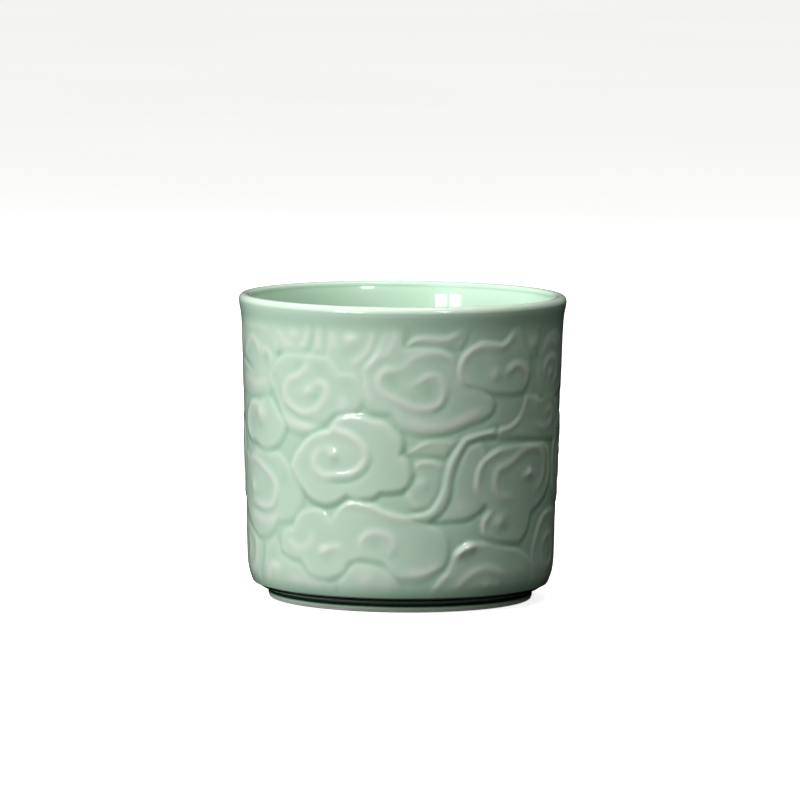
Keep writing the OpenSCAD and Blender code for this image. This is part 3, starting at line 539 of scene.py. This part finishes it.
# ------------------------------------------------------------------ meshes
def make_piece(name, verts_mm, faces, normals, pool, material, nodes):
    """One closed piece of the pot. The glaze depth given for each vertex also carries painted shade."""
    mesh = bpy.data.meshes.new(name)
    mesh.from_pydata((np.asarray(verts_mm) * MM).tolist(), [], faces)
    mesh.attributes.new("pool", "FLOAT", "POINT").data.foreach_set("value", np.asarray(pool, np.float32))
    mesh.shade_smooth()
    mesh.normals_split_custom_set_from_vertices(np.asarray(normals).tolist())
    mesh.materials.append(material)
    piece = bpy.data.objects.new(name, mesh)
    bpy.context.scene.collection.objects.link(piece)
    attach(piece, "root")
    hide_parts(*nodes)
    return piece


def ring_directions(count, start=-90.0):
    """Outward directions round the pot, anticlockwise from a start angle, as x and y."""
    angles = np.radians(start + 180 * np.arange(count) / COLUMNS)
    return np.sin(angles), -np.cos(angles)


def turned_piece(name, shown, hidden, pool, material, nodes):
    """A closed solid of revolution. shown is the visible profile with one point more at each end, which
    only sets the slope there, and hidden closes it inside the pot. The visible side is on the right of
    the way along the profile."""
    count = 2 * COLUMNS
    shown = np.array(shown, float)
    slope = shown[2:] - shown[:-2]
    slope /= np.hypot(*slope.T)[:, None]
    line = np.vstack([shown[1:-1], np.array(hidden, float)])
    facing = np.vstack([np.c_[slope[:, 1], -slope[:, 0]], np.tile([-1.0, 0.0], (len(hidden), 1))])
    pool = list(pool)[1:-1] + [HIDDEN_POOL] * len(hidden)
    round_x, round_y = ring_directions(count)
    verts, normals, values, rings = [], [], [], []
    start = 0
    for (r, z), (nr, nz), value in zip(line, facing, pool):
        on_axis = r < 1e-6
        n = 1 if on_axis else count
        verts.append([[0, 0, z]] if on_axis else np.c_[r * round_x, r * round_y, np.full(n, z)])
        normals.append([[0, 0, nz]] if on_axis else np.c_[nr * round_x, nr * round_y, np.full(n, nz)])
        values += [value] * n
        rings.append(range(start, start + n))
        start += n
    faces = []
    for a, b in zip(rings, rings[1:] + rings[:1]):
        if len(a) == 1 and len(b) == 1:
            continue
        for i in range(count):
            j = (i + 1) % count
            if len(a) == 1:
                faces.append((a[0], b[j], b[i]))
            elif len(b) == 1:
                faces.append((a[i], a[j], b[0]))
            else:
                faces.append((a[i], a[j], b[j], b[i]))
    return make_piece(name, np.vstack(verts), faces, np.vstack(normals), values, material, nodes)


def relief_grid():
    """Radius, outward slope and glaze depth, with painted shade, of the clouded wall, one row of numbers for
    each height.
    """
    heights, field, thin = relief_field()
    z = heights[:, None]
    shown = ease((z - BAND[0]) / FADE_FOOT) * (1 - ease((z - FADE_TOP[0]) / FADE_TOP[1]))
    field = blur(field, SOFT) * shown
    radius = wall_line(z) + field
    step_z = heights[1] - heights[0]
    slope_z = np.gradient(radius, step_z, axis=0)
    slope_z[0] = (wall_line(heights[0] + step_z) - wall_line(heights[0] - step_z)) / (2 * step_z)
    slope_z[-1] = (wall_line(heights[-1] + step_z) - wall_line(heights[-1] - step_z)) / (2 * step_z)
    turn = math.radians(PERIOD / COLUMNS)
    slope_x = (np.roll(radius, -1, axis=1) - np.roll(radius, 1, axis=1)) / (2 * turn * radius)
    drawn = DRAWN_POOL * blur(thin, DRAWN_SOFT) * shown
    gather_mm, gather_share = GATHERED
    gathered = (blur(field, gather_mm) - field) * gather_share
    # painted shade under the lip and towards the heel goes into the glaze depth here too
    pool = WALL_POOL + drawn + gathered + neck_shade(z) + heel_pool_and_shade(z)
    return heights, radius, slope_x, slope_z, np.clip(pool, 0, DARKEST)


def relief_piece(name, side, grid, material, nodes):
    """Half of the clouded wall as a closed shell: side 0 is the front half, and side 1 the back."""
    heights, radius, slope_x, slope_z, pool = grid
    wrap = np.r_[0:COLUMNS, 0]
    radius, slope_x, slope_z, pool = (a[:, wrap] for a in (radius, slope_x, slope_z, pool))
    out_x, out_y = ring_directions(COLUMNS + 1, -90 + PERIOD * side)
    z = np.broadcast_to(heights[:, None], radius.shape)
    outer = np.stack([radius * out_x, radius * out_y, z], axis=-1).reshape(-1, 3)
    normal = np.stack([out_x + out_y * slope_x, out_y - out_x * slope_x, -slope_z], axis=-1).reshape(-1, 3)
    normal /= np.linalg.norm(normal, axis=1)[:, None]
    inner = [np.c_[middle_of_wall(h) * out_x, middle_of_wall(h) * out_y, np.full(COLUMNS + 1, h)]
             for h in (heights[0], heights[-1])]
    wide = COLUMNS + 1
    last = ROWS * wide
    low, high = len(outer), len(outer) + wide
    faces = [(r * wide + c, r * wide + c + 1, (r + 1) * wide + c + 1, (r + 1) * wide + c)
             for r in range(ROWS) for c in range(COLUMNS)]
    for c in range(COLUMNS):
        faces.append((last + c, last + c + 1, high + c + 1, high + c))
        faces.append((high + c, high + c + 1, low + c + 1, low + c))
        faces.append((low + c, low + c + 1, c + 1, c))
    faces.append(tuple(range(0, last + 1, wide)) + (high, low))
    faces.append(tuple(range(last + COLUMNS, 0, -wide)) + (low + COLUMNS, high + COLUMNS))
    hidden = -np.stack([out_x, out_y, np.zeros(wide)], axis=-1)
    return make_piece(name, np.vstack([outer] + inner), faces, np.vstack([normal, hidden, hidden]),
                      np.r_[pool.ravel(), np.full(2 * wide, HIDDEN_POOL)], material, nodes)


def lip_and_lining(material):
    """The glaze from the neck over the lip, down the inside and across the floor."""
    neck = [(float(wall_line(z)), z) for z in (BAND[1] - ROW_STEP, BAND[1], BAND[1] + ROW_STEP)]
    turn_out = smooth_profile([neck[-1], (LIP_R - 0.13, WIDEST_Z - 1.1), (LIP_R, WIDEST_Z)], 5)
    outer_radii = (LIP_R - CREST_R, HEIGHT - WIDEST_Z)
    outer_crest = turn_out[1:] + quarter((CREST_R, WIDEST_Z), outer_radii, 0, 90, 16)[1:]
    crest_drop = 1.1                                 # from the crest to the middle of its inner curve
    inner_crest = quarter((CREST_R, HEIGHT - crest_drop), (CREST_R - MOUTH_R, crest_drop), 90, 160, 14)
    bore_foot_r = BORE_TOP_R - 1.5
    bore = smooth_profile([inner_crest[-1], (MOUTH_R - 0.3, HEIGHT - 1.7), (MOUTH_R - 0.64, HEIGHT - 2.9),
                           (MOUTH_R - 0.87, HEIGHT - 4.0), (MOUTH_R - 1.17, HEIGHT - 6.0),
                           (MOUTH_R - 1.43, HEIGHT - 8.5), (MOUTH_R - 1.7, HEIGHT - 12.5),
                           (BORE_TOP_R, HEIGHT - 16), (BORE_TOP_R - 0.8, HEIGHT / 2),
                           (bore_foot_r, FLOOR_TOP + COVE_R)], 4)
    cove_mid = (bore_foot_r - COVE_R, FLOOR_TOP + COVE_R)
    cove = quarter(cove_mid, (COVE_R, COVE_R), 0, -90, 10)
    dip = 0.25                                       # the floor is this much lower in the middle
    floor_line = [(r, FLOOR_TOP - dip * (1 - (r / cove[-1][0]) ** 2))
                  for r in np.linspace(cove[-1][0], 0, 8)[1:]]
    shown = neck + outer_crest + inner_crest[1:] + bore[1:] + cove[1:] + floor_line
    pool = []
    for r, z in shown:                               # thin on the crest, and darker just inside it
        on_crest = math.exp(-((z - HEIGHT) / (1.8 if r > CREST_R else 0.6)) ** 4)
        at_mouth = math.exp(-((z - HEIGHT + 1.5) / 0.5) ** 2) if r < CREST_R else 0
        # painted shade under the lip
        shade_under_lip = neck_shade(z) if r > CREST_R else 0
        in_cove = math.exp(-((r - BORE_TOP_R + 4) ** 2 + (z - FLOOR_TOP - 2) ** 2) / 16)
        pool.append(WALL_POOL - 0.22 * on_crest + 0.3 * at_mouth + shade_under_lip + 0.2 * in_cove)
    shown.append((-1.0, shown[-1][1]))
    pool.append(pool[-1])
    backing = 1.2                                    # how far under the floor the hidden side lies
    under_cove = quarter((cove[-1][0], cove_mid[1]), (COVE_R + 0.9, COVE_R + backing), -90, 0, 8)
    hidden = [(0, FLOOR_TOP - backing)] + under_cove
    hidden += [(float(middle_of_wall(z)), z) for z in (HEIGHT / 2, BAND[1])]
    return turned_piece("lip_and_lining", shown, hidden, pool, material,
                        ["lip", "glaze_inside", "wall"])


def heel(material):
    """The glaze on the heel and the underside, with painted shade under the heel, and down the foot ring,
    where it ends in a soft edge.
    """
    foot = FOOT_R + GLAZE_ROLL
    top_r = float(wall_line(BAND[0]))
    edge = quarter((foot - GLAZE_ROLL, GLAZE_END + GLAZE_ROLL), (GLAZE_ROLL, GLAZE_ROLL), -90, 0, 5)
    rise = smooth_profile([edge[-1], (foot + 0.05, FOOT_TOP - 0.5), (foot + 0.5, FOOT_TOP + 0.1),
                           (foot + 2.6, FOOT_TOP + 1.2), (top_r - 1.3, BAND[0] - 0.95),
                           (top_r - 0.35, BAND[0] - 0.55), (top_r, BAND[0])], 6)
    above = (float(wall_line(BAND[0] + ROW_STEP)), BAND[0] + ROW_STEP)
    shown = [(foot - 0.6, GLAZE_END)] + edge + rise[1:] + [above]
    pool = []
    for r, z in shown:                               # painted shade, nearly black, under the heel, and pale again down the ring
        shade_underneath = ease((top_r - 0.1 - r) / 1.3)
        off_the_end = ease((z - GLAZE_END) / 2.0)
        pool.append(WALL_POOL + (heel_pool_and_shade(z) + 0.6 * shade_underneath) * off_the_end)
    back = foot - 0.8
    hidden = [(float(middle_of_wall(BAND[0])), BAND[0]), (back, BAND[0]), (back, GLAZE_END + 0.2)]
    return turned_piece("heel_glaze", shown, hidden, pool, material, ["glaze_heel", "floor"])


def foot_ring(material):
    """The bare clay that the pot stands on."""
    outer, inner = FOOT_R + 0.1, FOOT_R - FOOT_W
    soft = 0.45                                      # radius of the edges that it stands on
    shown = [(inner, GLAZE_END + 0.6), (inner, GLAZE_END + 0.3), (inner, soft + 0.1)]
    shown += quarter((inner + soft, soft), (soft, soft), 180, 270, 6)
    shown += quarter((outer - soft, soft), (soft, soft), 270, 360, 6)
    shown += [(outer, soft + 0.1), (outer, GLAZE_END + 0.3), (outer, GLAZE_END + 0.6)]
    hidden = [(outer - 0.6, GLAZE_END + 0.8), (inner + 0.6, GLAZE_END + 0.8)]
    pool = [HIDDEN_POOL] * len(shown)
    return turned_piece("foot_ring_bare", shown, hidden, pool, material, ["foot_ring"])


def base_glaze(material):
    """The glaze under the floor, inside the foot ring."""
    inner = FOOT_R - FOOT_W - GLAZE_ROLL
    ceiling = FOOT_TOP - GLAZE_T
    corner = 0.8
    cove = quarter((inner - corner, ceiling - corner), (corner, corner), 90, 0, 6)
    edge = quarter((inner + GLAZE_ROLL, GLAZE_END + GLAZE_ROLL), (GLAZE_ROLL, GLAZE_ROLL), 180, 270, 5)
    shown = [(-1.0, ceiling)] + [(r, ceiling) for r in np.linspace(0, cove[0][0], 10)[:-1]]
    shown += cove + edge + [(inner + 0.7, GLAZE_END)]
    pool = [BASE_POOL[1] if r > inner - 1 else BASE_POOL[0] for r, _ in shown]
    hidden = [(inner + 0.6, GLAZE_END + 0.3), (inner + 0.6, ceiling + 0.6), (0, ceiling + 0.6)]
    return turned_piece("base_glaze", shown, hidden, pool, material, ["glaze_base"])


# ------------------------------------------------------------------ materials
def new_material(name):
    """A material, its shader, a function that adds a node and joins its inputs, and one that links."""
    material = bpy.data.materials.new(name)
    material.use_nodes = True
    tree = material.node_tree
    shader = tree.nodes["Principled BSDF"]

    def add(kind, settings=None, **inputs):
        node = tree.nodes.new(kind)
        for key, value in (settings or {}).items():
            setattr(node, key, value)
        for key, value in inputs.items():
            socket = node.inputs[int(key[1:])] if key[1:].isdigit() else node.inputs[key]
            if isinstance(value, bpy.types.NodeSocket):
                tree.links.new(value, socket)
            else:
                socket.default_value = value
        return node

    return material, shader, add, tree.links.new


def celadon_material():
    """Celadon glaze: pale where it is thin on a ridge, and a deeper green where it pools; it also carries
    painted shade, down to nearly black under the heel.
    """
    material, shader, add, link = new_material("celadon_glaze")
    pool = add("ShaderNodeAttribute", {"attribute_name": "pool"})
    place = add("ShaderNodeTexCoord").outputs["Object"]
    drift = add("ShaderNodeTexNoise", Vector=place, Scale=38.0, Detail=3.0)
    speck = add("ShaderNodeTexNoise", Vector=place, Scale=900.0, Detail=2.0)
    moved = add("ShaderNodeMath", {"operation": "MULTIPLY_ADD"}, _0=drift.outputs["Fac"], _1=0.14,
                _2=pool.outputs["Fac"])
    moved = add("ShaderNodeMath", {"operation": "MULTIPLY_ADD"}, _0=speck.outputs["Fac"], _1=0.05,
                _2=moved.outputs[0])
    depth = add("ShaderNodeMapRange", Value=moved.outputs[0])
    depth.inputs["From Max"].default_value = DARKEST
    ramp = add("ShaderNodeValToRGB", Fac=depth.outputs["Result"])
    # the darkest stops are painted shade, as under the heel
    stops = ((0.0, (0.73, 0.78, 0.68)), (0.2, (0.62, 0.76, 0.62)), (0.4, (0.54, 0.73, 0.57)),
             (0.6, (0.42, 0.64, 0.47)), (0.74, (0.25, 0.43, 0.3)), (0.86, (0.01, 0.02, 0.015)))
    band = ramp.color_ramp
    band.interpolation = "B_SPLINE"
    while len(band.elements) < len(stops):
        band.elements.new(0.5)
    for element, (at, colour) in zip(band.elements, stops):
        element.position = at
        element.color = (*colour, 1.0)
    link(ramp.outputs["Color"], shader.inputs["Base Color"])
    ripple = add("ShaderNodeTexNoise", Vector=place, Scale=160.0, Detail=2.0)
    bump = add("ShaderNodeBump", Height=ripple.outputs["Fac"], Strength=0.05, Distance=0.0004)
    link(bump.outputs["Normal"], shader.inputs["Normal"])
    shader.inputs["Roughness"].default_value = 0.32
    shader.inputs["IOR"].default_value = 1.45
    shader.inputs["Coat Weight"].default_value = 1.0
    shader.inputs["Coat Roughness"].default_value = 0.035
    return material


def clay_material():
    """Fired clay without glaze: pale, dull and a little gritty."""
    material, shader, add, link = new_material("bare_clay")
    place = add("ShaderNodeTexCoord").outputs["Object"]
    grit = add("ShaderNodeTexNoise", Vector=place, Scale=1400.0, Detail=4.0)
    stain = add("ShaderNodeTexNoise", Vector=place, Scale=60.0, Detail=3.0)
    both = add("ShaderNodeMath", {"operation": "MULTIPLY_ADD"}, _0=grit.outputs["Fac"], _1=0.5,
               _2=stain.outputs["Fac"])
    ramp = add("ShaderNodeValToRGB", Fac=both.outputs[0])
    ramp.color_ramp.elements[0].position = 0.45
    ramp.color_ramp.elements[0].color = (0.36, 0.37, 0.33, 1)
    ramp.color_ramp.elements[1].position = 1.0
    ramp.color_ramp.elements[1].color = (0.56, 0.57, 0.52, 1)
    link(ramp.outputs["Color"], shader.inputs["Base Color"])
    bump = add("ShaderNodeBump", Height=grit.outputs["Fac"], Strength=0.3, Distance=0.0002)
    link(bump.outputs["Normal"], shader.inputs["Normal"])
    shader.inputs["Roughness"].default_value = 0.8
    return material


def floor_material():
    """The pale floor, with a faint unevenness."""
    material, shader, add, link = new_material("pale_floor")
    place = add("ShaderNodeTexCoord").outputs["Object"]
    noise = add("ShaderNodeTexNoise", Vector=place, Scale=3.0)
    ramp = add("ShaderNodeValToRGB", Fac=noise.outputs["Fac"])
    ramp.color_ramp.elements[0].color = (0.86, 0.86, 0.86, 1)
    ramp.color_ramp.elements[1].color = (0.9, 0.9, 0.9, 1)
    link(ramp.outputs["Color"], shader.inputs["Base Color"])
    shader.inputs["Roughness"].default_value = 0.9
    link(ramp.outputs["Color"], shader.inputs["Emission Color"])
    shader.inputs["Emission Strength"].default_value = 0.9
    return material


# ------------------------------------------------------------------ stage, lights and camera
def pale_floor():
    """A wide floor that doesn't light the pot from below."""
    mesh = bpy.data.meshes.new("floor")
    half = 12.0
    corners = [(-half, -half, 0), (half, -half, 0), (half, half, 0), (-half, half, 0)]
    mesh.from_pydata(corners, [], [(0, 1, 2, 3)])
    mesh.materials.append(floor_material())
    ground = bpy.data.objects.new("floor", mesh)
    bpy.context.scene.collection.objects.link(ground)
    ground.visible_diffuse = False
    ground.visible_glossy = False


def soft_light(name, azimuth, elevation, distance, size, power, colour=(1, 1, 1), shiny=True):
    """A rectangular softbox that faces the pot, at an azimuth to the right of the front."""
    light = bpy.data.lights.new(name, "AREA")
    light.shape = "RECTANGLE"
    light.size, light.size_y = size
    light.energy = power
    light.color = colour
    lamp = bpy.data.objects.new(name, light)
    az, el = math.radians(azimuth), math.radians(elevation)
    way = Vector((math.sin(az) * math.cos(el), -math.cos(az) * math.cos(el), math.sin(el)))
    lamp.location = Vector((0, 0, HEIGHT / 2 * MM)) + way * distance
    lamp.rotation_euler = way.to_track_quat("Z", "Y").to_euler()
    lamp.visible_glossy = shiny
    bpy.context.scene.collection.objects.link(lamp)


def studio_lights():
    """A window on the left in two panes, softboxes for the rest, and a dim sky."""
    for pane, azimuth in enumerate((-43, -31)):
        soft_light(f"window_pane_{pane}", azimuth, 10, 1.1, (0.18, 0.26), 1.5)
    soft_light("window_over", -37, 42, 1.1, (0.45, 0.16), 0.5)
    soft_light("key_left", -57, 34, 1.2, (0.9, 0.7), 13.4, (0.98, 0.93, 1.0), shiny=False)
    soft_light("side_left", -115, 20, 1.2, (0.6, 0.6), 3.2, shiny=False)
    soft_light("window_right", 30, 32, 1.1, (0.18, 0.16), 1.4)
    soft_light("sky_right", 34, 77, 0.9, (0.22, 0.16), 1.3)
    soft_light("top", 10, 86, 0.9, (0.5, 0.5), 3.6, shiny=False)
    soft_light("back", 178, 30, 1.4, (1.0, 1.0), 7.0, shiny=False)
    world = bpy.data.worlds.new("studio")
    bpy.context.scene.world = world
    world.use_nodes = True
    tree = world.node_tree
    way = tree.nodes.new("ShaderNodeTexCoord")
    parts = tree.nodes.new("ShaderNodeSeparateXYZ")
    sky = tree.nodes.new("ShaderNodeMapRange")           # nothing comes from under the floor
    sky.inputs["From Min"].default_value = -0.1
    sky.inputs["From Max"].default_value = 0.25
    sky.inputs["To Max"].default_value = 0.12
    seen = tree.nodes.new("ShaderNodeLightPath")
    strength = tree.nodes.new("ShaderNodeMix")
    strength.inputs["B"].default_value = 0.95
    tree.links.new(way.outputs["Generated"], parts.inputs["Vector"])
    tree.links.new(parts.outputs["Z"], sky.inputs["Value"])
    tree.links.new(seen.outputs["Is Camera Ray"], strength.inputs["Factor"])
    tree.links.new(sky.outputs["Result"], strength.inputs["A"])
    tree.links.new(strength.outputs["Result"], tree.nodes["Background"].inputs["Strength"])
    tree.nodes["Background"].inputs["Color"].default_value = (0.95, 1, 0.84, 1)


def photo_camera():
    """A long lens, a little above level, that looks at the middle of the pot's front."""
    distance, elevation, roll = 2.2, math.radians(6.15), math.radians(0.5)
    field = 0.25416                                  # width of the view at the pot, in metres
    target = Vector((0, 0, HEIGHT / 2 * MM))
    data = bpy.data.cameras.new("camera")
    data.sensor_width = 36.0
    data.lens = data.sensor_width * distance / field
    data.shift_x, data.shift_y = -0.0018, 0.0562
    data.clip_end = 50
    camera = bpy.data.objects.new("camera", data)
    way = Vector((0, -math.cos(elevation), math.sin(elevation)))
    camera.location = target + way * distance
    look = way.to_track_quat("Z", "Y").to_matrix().to_4x4()
    camera.rotation_euler = (look @ Matrix.Rotation(roll, 4, "Z")).to_euler()
    bpy.context.scene.collection.objects.link(camera)
    bpy.context.scene.camera = camera


# ------------------------------------------------------------------ the pot
photo_camera()
studio_lights()
pale_floor()
celadon = celadon_material()
clay = clay_material()
cloud_nodes = [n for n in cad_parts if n.startswith("cloud_")]
grid = relief_grid()
relief_piece("clouds_front", 0, grid, celadon, ["wall"] + cloud_nodes)
relief_piece("clouds_back", 1, grid, celadon, ["wall"] + cloud_nodes)
lip_and_lining(celadon)
heel(celadon)
foot_ring(clay)
base_glaze(celadon)

bpy.context.scene.view_settings.view_transform = "Standard"
